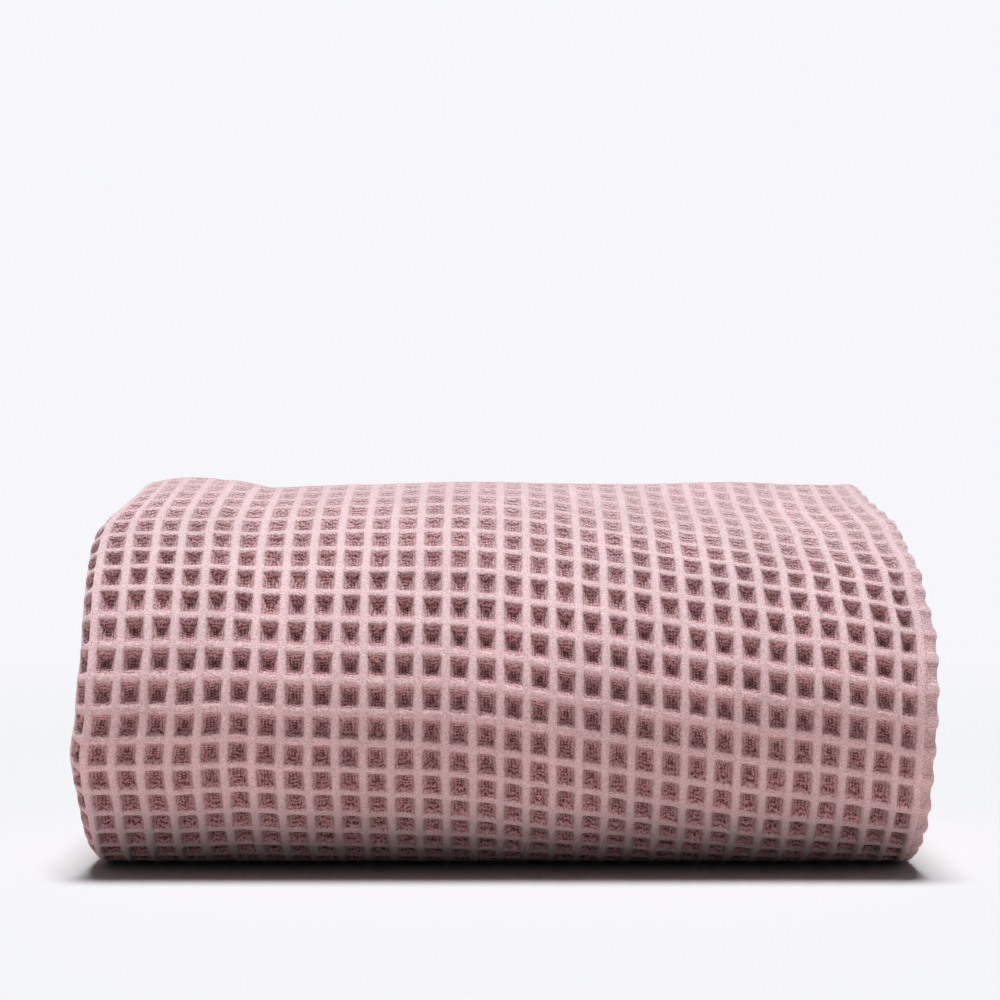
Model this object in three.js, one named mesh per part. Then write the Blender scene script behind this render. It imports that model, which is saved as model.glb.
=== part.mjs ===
import * as THREE from "three";

// A waffle cotton throw, folded into a soft brick. Millimetres, +Z up.
// X runs across the round front fold, Y runs from the front to the back.
// The cloth is one sheet. Its width is folded in half twice, which gives a strip of four plies.
// The strip is then folded in half three times along its length, which gives eight layers.
// The origin is on the floor, under the middle of the stack.

// The cloth, and how its plies lie
const CLOTH = { width: 1300, length: 1700, thick: 3 };
const PLY_PITCH = 4.4;
const PLY = { a: 1.5 * PLY_PITCH, b: 0.5 * PLY_PITCH, c: -0.5 * PLY_PITCH, d: -1.5 * PLY_PITCH };
const HALF_STRIP = PLY.a + CLOTH.thick / 2;

// The stack
const LAYERS = 8;
const LAYER_GAP = 3.4;
const LAYER_PITCH = 2 * HALF_STRIP + LAYER_GAP;
const HEIGHT = (LAYERS - 1) * LAYER_PITCH + 2 * HALF_STRIP;
const TIGHT = LAYER_PITCH / 2;

// How far the two hems of the strip stop short of, or pass, the crease beside them
const HEM_OF_C = -3;
const HEM_OF_D = 2;

// Stops along a ply from its left fold to its right end, as shares of the ply, with more of them
// where the stack rounds off at its ends
const STOPS = [0, 0.04, 0.1, 0.2, 0.5, 0.86, 0.95, 1];

// The turns of the strip, a row for each, in the order in which the strip makes them.
// from and to are the layers it joins, counted from the floor. tip is how far the middle of the
// strip stays from the front or back of the stack, sag is how far that tip hangs below the middle
// of the two layers, over and under are the depths of the bend above and below it, and steps are
// the flats that it is made of.
const TURNS = [
  { from: 5, to: 4, end: "front", tip: 83, sag: 0, over: TIGHT, under: TIGHT, steps: 6 },
  { from: 4, to: 1, end: "back", tip: 11, sag: 0, over: 30, under: 30, steps: 7 },
  { from: 1, to: 8, end: "front", tip: HALF_STRIP, sag: 5.3, over: 109, under: 70, steps: 14 },
  { from: 8, to: 7, end: "back", tip: HALF_STRIP, sag: 0, over: TIGHT, under: TIGHT, steps: 6 },
  { from: 7, to: 2, end: "front", tip: 31, sag: 3.3, over: 83, under: 52, steps: 8 },
  { from: 2, to: 3, end: "back", tip: 31, sag: 0, over: TIGHT, under: TIGHT, steps: 6 },
  { from: 3, to: 6, end: "front", tip: 54.5, sag: 1.8, over: 51, under: 36, steps: 7 },
];
const FIRST_LAYER = 5;
const LAST_LAYER = 6;
const FIRST_HEM = 14;
const LAST_HEM = 9;
const TOP_STEPS = 3;

// How far the sides of the stack stand out from straight ones, a row for each height of the
// strip's middle
const SIDES = [
  { height: 0, left: 2, right: 0 },
  { height: 27, left: 1.6, right: 1.3 },
  { height: 47, left: 2.8, right: 1 },
  { height: 66, left: 0, right: 1.2 },
  { height: 90, left: -1.8, right: 1.2 },
  { height: 110, left: -1.6, right: -1.7 },
  { height: 128, left: -1.2, right: -6.4 },
  { height: 146, left: -9.4, right: -15.9 },
];
const BACK_SHARE = 0.35;

// How far the top stands above or below a level one, a row for each place across the stack
const TOP = [
  { across: -165, rise: 2 },
  { across: -134, rise: 3 },
  { across: -118, rise: 1.9 },
  { across: -98, rise: -1.2 },
  { across: -60, rise: -0.2 },
  { across: -15, rise: 1.3 },
  { across: 60, rise: 0.3 },
  { across: 100, rise: 1.2 },
  { across: 140, rise: 0.1 },
  { across: 165, rise: 0.7 },
];
const BACK_FALL = 4;
const FIRM_HEIGHT = 12;

const COLOUR = new THREE.Color().setStyle("rgb(206, 170, 174)");

// The strip's cross-section

const HALF_TURN = Math.PI;
const foldLength = (PLY.a + 2 * PLY.b) * HALF_TURN;
const plyLength = (CLOTH.width - foldLength - HEM_OF_C - HEM_OF_D) / 4;
const stripWidth = plyLength + HALF_STRIP + PLY.b + CLOTH.thick / 2;
const LEFT_FOLD = -stripWidth / 2 + HALF_STRIP;
const RIGHT_CREASE = LEFT_FOLD + plyLength;

// Points of one ply, from fold to crease or back, with the way the cloth runs at each
function plyPoints(height, end, direction) {
  const points = STOPS.map((share) => ({
    x: LEFT_FOLD + share * (end - LEFT_FOLD),
    t: height,
    dx: direction,
    dt: 0,
  }));
  return direction > 0 ? points : points.reverse();
}

// Points of a round fold between two plies, without its two ends, which belong to the plies
function foldPoints(x, from, to, side, steps) {
  const middle = (from + to) / 2;
  const radius = Math.abs(from - to) / 2;
  const sense = Math.sign(from - to);
  const points = [];
  for (let step = 1; step < steps; step += 1) {
    const angle = (HALF_TURN * step) / steps;
    points.push({
      x: x + side * radius * Math.sin(angle),
      t: middle + sense * radius * Math.cos(angle),
      dx: side * Math.cos(angle),
      dt: -sense * Math.sin(angle),
    });
  }
  return points;
}

const section = [
  ...plyPoints(PLY.c, RIGHT_CREASE + HEM_OF_C, -1),
  ...foldPoints(LEFT_FOLD, PLY.c, PLY.b, -1, 4),
  ...plyPoints(PLY.b, RIGHT_CREASE, 1),
  ...foldPoints(RIGHT_CREASE, PLY.b, PLY.a, 1, 4),
  ...plyPoints(PLY.a, RIGHT_CREASE, -1),
  ...foldPoints(LEFT_FOLD, PLY.a, PLY.d, -1, 7),
  ...plyPoints(PLY.d, RIGHT_CREASE + HEM_OF_D, 1),
];

// The strip's way through the stack

const layerHeight = (layer) => HALF_STRIP + (layer - 1) * LAYER_PITCH;

// Points of a turn: two quarter ellipses that meet at its tip
function turnPoints(turn, depth) {
  const front = turn.end === "front";
  const out = front ? -1 : 1;
  const tip = front ? turn.tip : depth - turn.tip;
  const up = Math.sign(turn.to - turn.from);
  const level = (layerHeight(turn.from) + layerHeight(turn.to)) / 2 - turn.sag;
  const high = layerHeight(Math.max(turn.from, turn.to)) - level;
  const low = level - layerHeight(Math.min(turn.from, turn.to));
  const points = [];
  for (let step = 0; step <= turn.steps; step += 1) {
    const angle = HALF_TURN * (step / turn.steps - 0.5);
    const above = angle * up > 0;
    const reach = above ? turn.over : turn.under;
    const rise = above ? high : low;
    const run = new THREE.Vector2(-out * reach * Math.sin(angle), up * rise * Math.cos(angle)).normalize();
    points.push({
      y: tip - out * reach * (1 - Math.cos(angle)),
      z: level + up * rise * Math.sin(angle),
      dy: run.x,
      dz: run.y,
    });
  }
  return points;
}

// A hem is a single point at the back of the stack
function hemPoint(layer, setBack, depth, direction) {
  return { y: depth - setBack, z: layerHeight(layer), dy: direction, dz: 0 };
}

// The whole way for a stack of the given depth, with extra points along the top layer
function wayPoints(depth) {
  const points = [hemPoint(FIRST_LAYER, FIRST_HEM, depth, -1)];
  for (const turn of TURNS) {
    const bend = turnPoints(turn, depth);
    if (turn.from === LAYERS) {
      const start = points.at(-1);
      for (let step = 1; step < TOP_STEPS; step += 1) {
        points.push({ ...start, y: THREE.MathUtils.lerp(start.y, bend[0].y, step / TOP_STEPS) });
      }
    }
    points.push(...bend);
  }
  points.push(hemPoint(LAST_LAYER, LAST_HEM, depth, 1));
  return points;
}

function wayLength(points) {
  const steps = points.slice(1).map((point, index) => {
    const before = points[index];
    return Math.hypot(point.y - before.y, point.z - before.z);
  });
  return steps.reduce((sum, step) => sum + step, 0);
}

// All eight layers grow with the depth, so the depth follows from the cloth's length
const TRIAL_DEPTH = 240;
const spare = CLOTH.length - wayLength(wayPoints(TRIAL_DEPTH));
const DEPTH = TRIAL_DEPTH + spare / LAYERS;
const way = wayPoints(DEPTH);

// The unevenness of the folded stack

// A smooth curve through the rows of a table
function smooth(rows, key, value, at) {
  const last = rows.length - 1;
  let row = rows.findIndex((entry) => entry[key] > at);
  row = THREE.MathUtils.clamp(row < 0 ? last : row, 1, last);
  const low = rows[row - 1];
  const high = rows[row];
  const share = THREE.MathUtils.smoothstep(at, low[key], high[key]);
  return THREE.MathUtils.lerp(low[value], high[value], share);
}

// Moves a point of the even stack to where it lies in the real one. middle is the height of the
// strip's middle beside it.
function settle(point, middle) {
  const side = point.x < 0 ? "left" : "right";
  const outward = Math.min(Math.abs(point.x) / (stripWidth / 2), 1);
  const behind = THREE.MathUtils.smoothstep(point.y, DEPTH / 3, DEPTH);
  const share = THREE.MathUtils.lerp(1, BACK_SHARE, behind) * outward ** 2;
  const stand = smooth(SIDES, "height", side, middle) * share;
  const lift = Math.max((point.z - FIRM_HEIGHT) / (HEIGHT - FIRM_HEIGHT), 0);
  const rise = smooth(TOP, "across", "rise", point.x) - BACK_FALL * behind;
  return new THREE.Vector3(
    point.x + Math.sign(point.x) * stand,
    point.y - DEPTH / 2,
    point.z + lift * rise,
  );
}

// The cloth as one closed sheet

const NUDGE = 0.01;

// The two faces of the cloth at one point of the section and one point of the way
function clothAt(cut, stop) {
  const normal = new THREE.Vector3(0, -stop.dz, stop.dy);
  const point = new THREE.Vector3(0, stop.y, stop.z).addScaledVector(normal, cut.t);
  point.x = cut.x;
  const across = normal.clone().multiplyScalar(cut.dt).add(new THREE.Vector3(cut.dx, 0, 0));
  const along = new THREE.Vector3(0, stop.dy, stop.dz);
  const moved = (direction, climb, step) =>
    settle(point.clone().addScaledVector(direction, step), stop.z + climb * step);
  const run = (direction, climb) =>
    moved(direction, climb, NUDGE).sub(moved(direction, climb, -NUDGE)).normalize();
  const facing = run(across, 0).cross(run(along, stop.dz)).normalize();
  const middle = settle(point, stop.z);
  return [
    middle.clone().addScaledVector(facing, CLOTH.thick / 2),
    middle.clone().addScaledVector(facing, -CLOTH.thick / 2),
  ];
}

// The points of the section and of the way that lie along the cloth's edge, once round
function clothEdge(endColumn, endRow) {
  const edge = [];
  for (let row = 0; row < endRow; row += 1) {
    edge.push([0, row]);
  }
  for (let column = 0; column < endColumn; column += 1) {
    edge.push([column, endRow]);
  }
  for (let row = endRow; row > 0; row -= 1) {
    edge.push([endColumn, row]);
  }
  for (let column = endColumn; column > 0; column -= 1) {
    edge.push([column, 0]);
  }
  return edge;
}

function clothSheet() {
  const columns = section.length;
  const corners = way.flatMap((stop) => section.flatMap((cut) => clothAt(cut, stop)));
  const positions = corners.flatMap((at) => at.toArray());
  const corner = (column, row, face) => 2 * (row * columns + column) + face;
  const faces = [];
  const quad = (a, b, c, d) => faces.push(a, b, c, a, c, d);
  for (let row = 0; row < way.length - 1; row += 1) {
    for (let column = 0; column < columns - 1; column += 1) {
      const [right, up] = [column + 1, row + 1];
      quad(corner(column, row, 0), corner(right, row, 0), corner(right, up, 0), corner(column, up, 0));
      quad(corner(column, row, 1), corner(column, up, 1), corner(right, up, 1), corner(right, row, 1));
    }
  }
  clothEdge(columns - 1, way.length - 1).forEach(([column, row], index, edge) => {
    const [nextColumn, nextRow] = edge[(index + 1) % edge.length];
    const here = [corner(column, row, 1), corner(column, row, 0)];
    quad(...here, corner(nextColumn, nextRow, 0), corner(nextColumn, nextRow, 1));
  });
  const geometry = new THREE.BufferGeometry();
  geometry.setAttribute("position", new THREE.Float32BufferAttribute(positions, 3));
  geometry.setIndex(faces);
  geometry.computeVertexNormals();
  return geometry;
}

const cotton = new THREE.MeshStandardMaterial({ color: COLOUR, roughness: 0.95, metalness: 0 });
const cloth = new THREE.Mesh(clothSheet(), cotton);
cloth.name = "throw";

const box = new THREE.Box3().setFromObject(cloth);
const centre = box.getCenter(new THREE.Vector3());
cloth.position.set(-centre.x, -centre.y, -box.min.z);

const throwGroup = new THREE.Group();
throwGroup.add(cloth);

export default throwGroup;
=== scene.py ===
# %% [markdown]
# # A folded waffle cotton throw
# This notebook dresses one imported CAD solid, `throw`, as the real cloth: a rectangle of waffle
# weave, hemmed all round, folded into a narrow strip and then in layers into a soft brick.
# The cloth could be simulated, but a folded stack has dozens of plies that touch, and a
# simulation would take minutes and leave its folds to chance. So every point of the cloth is
# worked out from two numbers, how far across and how far along the flat cloth it lies, with
# the same folds as the solid. Work here is in millimetres, and meshes are made in metres.

import math

import bpy
import numpy as np
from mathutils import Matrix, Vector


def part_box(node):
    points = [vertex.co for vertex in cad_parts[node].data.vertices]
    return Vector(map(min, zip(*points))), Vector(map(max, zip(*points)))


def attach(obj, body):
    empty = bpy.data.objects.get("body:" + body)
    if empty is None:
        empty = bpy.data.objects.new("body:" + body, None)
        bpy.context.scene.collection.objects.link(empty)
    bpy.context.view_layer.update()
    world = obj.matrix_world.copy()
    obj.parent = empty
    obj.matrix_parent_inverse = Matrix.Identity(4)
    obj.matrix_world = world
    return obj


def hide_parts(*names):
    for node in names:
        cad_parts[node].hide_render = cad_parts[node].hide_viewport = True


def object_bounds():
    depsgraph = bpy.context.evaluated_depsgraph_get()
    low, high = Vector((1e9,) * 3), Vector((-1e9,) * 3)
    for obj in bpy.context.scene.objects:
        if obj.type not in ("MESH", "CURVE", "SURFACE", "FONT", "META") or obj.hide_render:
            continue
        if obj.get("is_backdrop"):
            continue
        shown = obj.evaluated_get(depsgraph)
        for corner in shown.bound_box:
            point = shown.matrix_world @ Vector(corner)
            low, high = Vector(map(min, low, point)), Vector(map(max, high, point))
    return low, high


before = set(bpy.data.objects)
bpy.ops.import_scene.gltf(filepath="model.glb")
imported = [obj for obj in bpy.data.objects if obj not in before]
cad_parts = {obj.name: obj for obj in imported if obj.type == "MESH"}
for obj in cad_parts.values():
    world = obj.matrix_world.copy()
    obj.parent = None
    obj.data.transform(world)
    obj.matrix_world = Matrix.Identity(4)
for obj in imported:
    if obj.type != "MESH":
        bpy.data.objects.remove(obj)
cad_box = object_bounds()

MM = 0.001
low_corner, high_corner = (np.array(corner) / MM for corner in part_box("throw"))
print("box of the folded throw, mm:", np.round(high_corner - low_corner, 1))

# %% [markdown]
# ## The cloth and its folds
# A maker folds the width first: hem to middle from both sides, then shut like a book, which
# gives four plies that are called a, b, c and d from the top of the strip down. The strip is
# then folded lengthwise into eight layers. The sizes are those of the solid.

# %% Sizes of the cloth and of the folded strip
CLOTH_WIDTH = 1300
CLOTH_LENGTH = 1700
CLOTH_THICK = 3
PLY_PITCH = 4.4
PLY = {"a": 1.5 * PLY_PITCH, "b": 0.5 * PLY_PITCH, "c": -0.5 * PLY_PITCH, "d": -1.5 * PLY_PITCH}
HALF_STRIP = PLY["a"] + CLOTH_THICK / 2
LAYERS = 8
LAYER_GAP = 3.4
LAYER_PITCH = 2 * HALF_STRIP + LAYER_GAP
HEIGHT = (LAYERS - 1) * LAYER_PITCH + 2 * HALF_STRIP
DEPTH = high_corner[1] - low_corner[1]
HEM_OF_C = -3
HEM_OF_D = 2

FOLD_LENGTH = (PLY["a"] + 2 * PLY["b"]) * math.pi
PLY_LENGTH = (CLOTH_WIDTH - FOLD_LENGTH - HEM_OF_C - HEM_OF_D) / 4
STRIP_WIDTH = PLY_LENGTH + HALF_STRIP + PLY["b"] + CLOTH_THICK / 2
LEFT_FOLD = -STRIP_WIDTH / 2 + HALF_STRIP
RIGHT_CREASE = LEFT_FOLD + PLY_LENGTH
print("strip", round(STRIP_WIDTH, 1), "wide, stack", round(HEIGHT, 1), "high")

# %% [markdown]
# The section of the strip is one line from hem to hem, kept as a run of points, each with the
# way the line points there. A distance across the flat cloth is looked up along it.


# %% The section of the strip
def ply_points(height, start, end, count=80):
    facing = np.sign(end - start)
    return [(x, height, facing, 0.0) for x in np.linspace(start, end, count)]


def fold_points(x, height_from, height_to, side, count=60):
    middle = (height_from + height_to) / 2
    radius = abs(height_from - height_to) / 2
    sense = np.sign(height_from - height_to)
    turns = [math.pi * k / count for k in range(1, count)]
    return [
        (
            x + side * radius * math.sin(g),
            middle + sense * radius * math.cos(g),
            side * math.cos(g),
            -sense * math.sin(g),
        )
        for g in turns
    ]


def run_of(points):
    steps = np.hypot(np.diff(points[:, 0]), np.diff(points[:, 1]))
    return np.concatenate([[0], np.cumsum(steps)])


section = np.array(
    ply_points(PLY["c"], RIGHT_CREASE + HEM_OF_C, LEFT_FOLD)
    + fold_points(LEFT_FOLD, PLY["c"], PLY["b"], -1)
    + ply_points(PLY["b"], LEFT_FOLD, RIGHT_CREASE)
    + fold_points(RIGHT_CREASE, PLY["b"], PLY["a"], 1)
    + ply_points(PLY["a"], RIGHT_CREASE, LEFT_FOLD)
    + fold_points(LEFT_FOLD, PLY["a"], PLY["d"], -1)
    + ply_points(PLY["d"], LEFT_FOLD, RIGHT_CREASE + HEM_OF_D)
)
section_run = run_of(section)
print("section from hem to hem:", round(section_run[-1], 1), "mm")

# %% [markdown]
# The strip starts at the back of layer 5 and ends at the back of layer 6. Each row of TURNS
# is one turn from layer to layer: where its tip lies from that end of the stack, how far its
# middle sags, and how far it reaches over and under its middle. The big turn from layer 1 to
# layer 8 is the round front that the photograph shows.

# %% The way of the strip through the layers
TIGHT = LAYER_PITCH / 2
TURNS = [
    {"from": 5, "to": 4, "end": "front", "tip": 83, "sag": 0, "over": TIGHT, "under": TIGHT},
    {"from": 4, "to": 1, "end": "back", "tip": 11, "sag": 0, "over": 30, "under": 30},
    {"from": 1, "to": 8, "end": "front", "tip": HALF_STRIP, "sag": 5.3, "over": 109, "under": 70},
    {"from": 8, "to": 7, "end": "back", "tip": HALF_STRIP, "sag": 0, "over": TIGHT, "under": TIGHT},
    {"from": 7, "to": 2, "end": "front", "tip": 31, "sag": 3.3, "over": 83, "under": 52},
    {"from": 2, "to": 3, "end": "back", "tip": 31, "sag": 0, "over": TIGHT, "under": TIGHT},
    {"from": 3, "to": 6, "end": "front", "tip": 54.5, "sag": 1.8, "over": 51, "under": 36},
]
FIRST_LAYER = 5
LAST_LAYER = 6
FIRST_HEM = 14
LAST_HEM = 9


def layer_height(layer):
    return HALF_STRIP + (layer - 1) * LAYER_PITCH


def turn_points(turn, count=120):
    out = -1 if turn["end"] == "front" else 1
    tip = turn["tip"] if turn["end"] == "front" else DEPTH - turn["tip"]
    start, end = layer_height(turn["from"]), layer_height(turn["to"])
    up = np.sign(end - start)
    level = (start + end) / 2 - turn["sag"]
    points = []
    for g in np.pi * (np.arange(count + 1) / count - 0.5):
        above = g * up > 0
        reach = turn["over"] if above else turn["under"]
        rise = max(start, end) - level if above else level - min(start, end)
        run = np.array([-out * reach * math.sin(g), up * rise * math.cos(g)])
        run /= np.hypot(*run)
        place = tip - out * reach * (1 - math.cos(g))
        points.append((place, level + up * rise * math.sin(g), *run))
    return points


def layer_points(start, end, height, count=50):
    facing = np.sign(end - start)
    return [(y, height, facing, 0.0) for y in np.linspace(start, end, count)[1:-1]]


way = [(DEPTH - FIRST_HEM, layer_height(FIRST_LAYER), -1.0, 0.0)]
turn_spans = []
for turn in TURNS:
    bend = turn_points(turn)
    way += layer_points(way[-1][0], bend[0][0], bend[0][1])
    turn_spans.append((len(way), len(way) + len(bend) - 1))
    way += bend
way += layer_points(way[-1][0], DEPTH - LAST_HEM, layer_height(LAST_LAYER))
way.append((DEPTH - LAST_HEM, layer_height(LAST_LAYER), 1.0, 0.0))
way = np.array(way)
way_run = run_of(way)
turn_spans = [(way_run[a], way_run[b]) for a, b in turn_spans]
print("way from hem to hem:", round(way_run[-1], 1), "mm, turns at", np.round(turn_spans))

# %% [markdown]
# A stack of cloth is never square. SIDES says how far the left and right ends stand out at
# each height, TOP how far the top rises above the even stack, both easing to the back.
# The upper corners of the front are rounded off a little more than in the solid, and SHOULDER
# lets the upper right of the front sink by a few millimetres, as soft cloth does. A sculpting
# brush could do this by eye, but short tables keep the cloth on its solid.

# %% How the stack settles
SIDES = [
    {"height": 0, "left": 2, "right": 0},
    {"height": 27, "left": 1.6, "right": 1.3},
    {"height": 47, "left": 2.8, "right": 1},
    {"height": 66, "left": 0, "right": 1.2},
    {"height": 90, "left": -1.8, "right": 1.2},
    {"height": 110, "left": -1.6, "right": -1.7},
    {"height": 128, "left": -1.2, "right": -6.4},
    {"height": 146, "left": -9.4, "right": -15.9},
]
TOP = [
    {"across": -165, "rise": 2},
    {"across": -134, "rise": 3},
    {"across": -118, "rise": 1.9},
    {"across": -98, "rise": -1.2},
    {"across": -60, "rise": -0.2},
    {"across": -15, "rise": 1.3},
    {"across": 60, "rise": 0.3},
    {"across": 100, "rise": 1.2},
    {"across": 140, "rise": 0.1},
    {"across": 165, "rise": 0.7},
]
BACK_FROM = DEPTH / 3
BACK_SHARE = 0.35
BACK_FALL = 4
FIRM_HEIGHT = 12
CORNER_SHARE = 0.84
CORNER_HEIGHTS = (124, 150)
CORNER_INWARD = {"left": 3.6, "right": 1.5}
CORNER_DOWN = {"left": 1.4, "right": 0.5}
SHOULDER = [
    {"across": -165, "down": 0},
    {"across": 5, "down": 0},
    {"across": 45, "down": 2.5},
    {"across": 85, "down": 5},
    {"across": 115, "down": 6.5},
    {"across": 132, "down": 6},
    {"across": 148, "down": 3.2},
    {"across": 165, "down": 0.5},
]
SHOULDER_HEIGHTS = (110, 152)
SHOULDER_DEPTHS = (60, 110)


def ease(start, end, x):
    share = np.clip((x - start) / (end - start), 0, 1)
    return share * share * (3 - 2 * share)


def eased_table(rows, place, value, at):
    places = np.array([row[place] for row in rows], float)
    values = np.array([row[value] for row in rows], float)
    k = np.clip(np.searchsorted(places, at, side="right"), 1, len(rows) - 1)
    share = ease(places[k - 1], places[k], at)
    return values[k - 1] + (values[k] - values[k - 1]) * share


def settle(x, y, z, middle):
    behind = ease(BACK_FROM, DEPTH, y)
    sideways = np.abs(x) / (STRIP_WIDTH / 2)
    share = (1 + (BACK_SHARE - 1) * behind) * np.minimum(sideways, 1) ** 2
    left = eased_table(SIDES, "height", "left", middle)
    right = eased_table(SIDES, "height", "right", middle)
    lift = np.maximum((z - FIRM_HEIGHT) / (HEIGHT - FIRM_HEIGHT), 0)
    rise = eased_table(TOP, "across", "rise", x) - BACK_FALL * behind
    corner = ease(CORNER_SHARE, 1, sideways) * ease(*CORNER_HEIGHTS, z)
    inward = np.where(x < 0, CORNER_INWARD["left"], CORNER_INWARD["right"]) * corner
    down = np.where(x < 0, CORNER_DOWN["left"], CORNER_DOWN["right"]) * corner
    stand = np.where(x < 0, left, right) * share - inward
    round_off = eased_table(SHOULDER, "across", "down", x) * ease(*SHOULDER_HEIGHTS, z)
    round_off = round_off * (1 - ease(*SHOULDER_DEPTHS, y))
    height = z + lift * rise - down - round_off
    return np.stack([x + np.sign(x) * stand, y - DEPTH / 2, height], -1)


print("the top right draws in by", -SIDES[-1]["right"], "mm and the left by", -SIDES[-1]["left"])

# %% [markdown]
# One function then folds any point of the flat cloth: `across` and `along` are its distances
# from two hems, and `out` how far it stands off the middle of the cloth, towards the side that
# ends up on the outside of the stack. The ends of the stack are then found, so that the cloth
# lies in the middle of the solid's box.

# %% Fold one point, or a grid of them
STEP = 0.01


def look_up(at, run, line):
    x, y, dx, dy = (np.interp(at, run, line[:, k]) for k in range(4))
    size = np.hypot(dx, dy)
    return x, y, dx / size, dy / size


def folded(across, along, out):
    x, t, dx, dt = look_up(across, section_run, section)
    y, z, dy, dz = look_up(along, way_run, way)

    def near(a, b):
        beside = y - dz * t - dz * dt * a + dy * b
        above = z + dy * t + dy * dt * a + dz * b
        return settle(x + dx * a, beside, above, z + dz * b)

    facing = np.cross(near(0, STEP) - near(0, -STEP), near(STEP, 0) - near(-STEP, 0))
    facing /= np.linalg.norm(facing, axis=-1, keepdims=True)
    return near(0, 0) + facing * np.asarray(out)[..., None]


# %% Set the folded cloth on the solid
LEFT_TURN = np.linspace(950, 985, 36)
RIGHT_TURN = np.linspace(630, 650, 41)
WHOLE_LENGTH = np.linspace(0, CLOTH_LENGTH, CLOTH_LENGTH + 1)

left_end = folded(LEFT_TURN[:, None], WHOLE_LENGTH[None], CLOTH_THICK / 2)
right_end = folded(RIGHT_TURN[:, None], WHOLE_LENGTH[None], CLOTH_THICK / 2)
middle_x = (left_end[..., 0].min() + right_end[..., 0].max()) / 2
PLACE = np.array([(low_corner[0] + high_corner[0]) / 2 - middle_x, 0, 0])
print("the folded map is moved by", np.round(PLACE, 2), "mm to lie on the solid")

# %% [markdown]
# ## The waffle
# The weave is counted in cells, 129 across and 149 along, each 10 by 12 mm. COLUMNS gives the
# distance across the cloth of a few of them, because the weave isn't quite even. ROWS_LOWER
# says how many rows lower a column sits than the middle of the front, because the cloth was
# pulled askew when it was folded, and SKEW by how much that grows and shrinks with the row.
# TOP_LOWER and TOP_GROWTH do the same for the left of the top, and FOOT_OFFSET for the foot.
# The hems stay straight: over EDGE_ROWS rows beside them all of this fades away.

# %% Cells of the weave
COLUMN_COUNT = 129
ROW_COUNT = 149
CELL_ACROSS = 10.1
CELL_ALONG = 12.0
COLUMNS = [(0, 0), (63, 637), (64, 647.5), (65, 656), (80, 806.2), (95, 962.7), (129, 1300)]
ROWS_LOWER = [
    (0, 0), (30, 0.8), (50, 1.9), (60, 2.15), (64.5, 2.03), (65.5, 1.84), (67.5, 1.58),
    (69.5, 1.4), (71.5, 1.13), (73.5, 0.84), (75.5, 0.55), (78.5, 0.2), (80.5, -0.04),
    (82.5, -0.18), (85.5, -0.3), (87.5, -0.35), (89.5, -0.47), (91.5, -0.31), (98, -0.28),
    (115, 0), (129, 0),
]
SKEW = [
    (49, 1.28), (50, 1.2), (51, 1.13), (52, 1.02), (54, 0.98), (56, 1), (57, 1.1), (58, 1.21),
    (59, 1.34), (60, 1.46), (61, 1.58), (62, 1.65), (64, 1.9), (66, 2.1), (70, 2.1), (80, 1.2),
]
EDGE_ROWS = 12
FIRST_ROW_OFFSET = 0.31
TOP_LOWER = [
    (78, 0), (80.5, 0.15), (84.5, 0.3), (88.5, 0.45), (90.5, 0.85), (92.5, 1.05), (98, 1.05),
]
TOP_GROWTH = [(56, 0), (58, 0.5), (60, 0.9), (63, 1.5), (66, 1.6), (78, 0)]
FOOT_OFFSET = [
    (47, 0.25), (49, 0.1), (51, 0), (56, 0), (57, 0.08), (58, 0.12), (59, 0.15), (61, 0.15),
    (63, 0),
]
print(COLUMN_COUNT, "by", ROW_COUNT, "cells of", CELL_ACROSS, "by", CELL_ALONG, "mm")

# %% Where each column and row lies on the cloth
heading = np.unwrap(np.arctan2(way[:, 3], way[:, 2]))
turning = np.gradient(heading, way_run)
stretch = np.where(turning < 0, 1 - turning * PLY["a"], 1)
row_steps = (stretch[1:] + stretch[:-1]) / 2 * np.diff(way_run)
row_run = np.concatenate([[0], np.cumsum(row_steps)])
row_run *= ROW_COUNT / row_run[-1]


def table_at(rows, at):
    return np.interp(at, [row[0] for row in rows], [row[1] for row in rows])


def across_of(column):
    return table_at(COLUMNS, column)


def column_of(across):
    return np.interp(across, [row[1] for row in COLUMNS], [row[0] for row in COLUMNS])


def along_of(column, row):
    fade = ease(0, EDGE_ROWS, row) * (1 - ease(ROW_COUNT - EDGE_ROWS, ROW_COUNT, row))
    lower = table_at(ROWS_LOWER, column) * table_at(SKEW, row)
    lower = lower + table_at(TOP_LOWER, column) * table_at(TOP_GROWTH, row)
    moved = FIRST_ROW_OFFSET + table_at(FOOT_OFFSET, row) - lower
    return np.interp(row + fade * moved, row_run, way_run)


turn_rows = [np.interp(span, way_run, row_run) for span in turn_spans]
print("rows at the turns:", [rows.round(1).tolist() for rows in turn_rows])

# %% [markdown]
# ## The relief
# Waffle weave stands up in ridges round square pits that step down thread by thread. Bump
# alone would look flat at the outline, so the ridges and pits are real shape. Each cell is a
# little deeper or shallower than the next, and its ridges wander by a few tenths of a
# millimetre, from seeded tables of random numbers that are the same on each run.
# Where cloth is rubbed, its cells are flatter: at the crease of the right end, over the top, and
# at both upper corners, where RIGHT_WORN and LEFT_WORN give the column that the wear reaches at
# each row. The materials take the painted pit shade off these cells, so they are paler, partly
# from the wear and partly as painted light on the top and the ends, where light reaches into the
# shallow pits. Real cells swell a little too, which `softness` adds.

# %% Unevenness of the hand-folded cloth
random = np.random.default_rng(11)
TABLE_SHAPE = (COLUMN_COUNT + 2, ROW_COUNT + 2)
wander_across = random.uniform(-1, 1, TABLE_SHAPE)
wander_along = random.uniform(-1, 1, TABLE_SHAPE)
cell_depth = random.uniform(-1, 1, TABLE_SHAPE)
puff = random.uniform(-1, 1, TABLE_SHAPE)
crest_rise = random.uniform(-1, 1, TABLE_SHAPE)
print("five tables of", COLUMN_COUNT + 2, "by", ROW_COUNT + 2, "random numbers")


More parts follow.
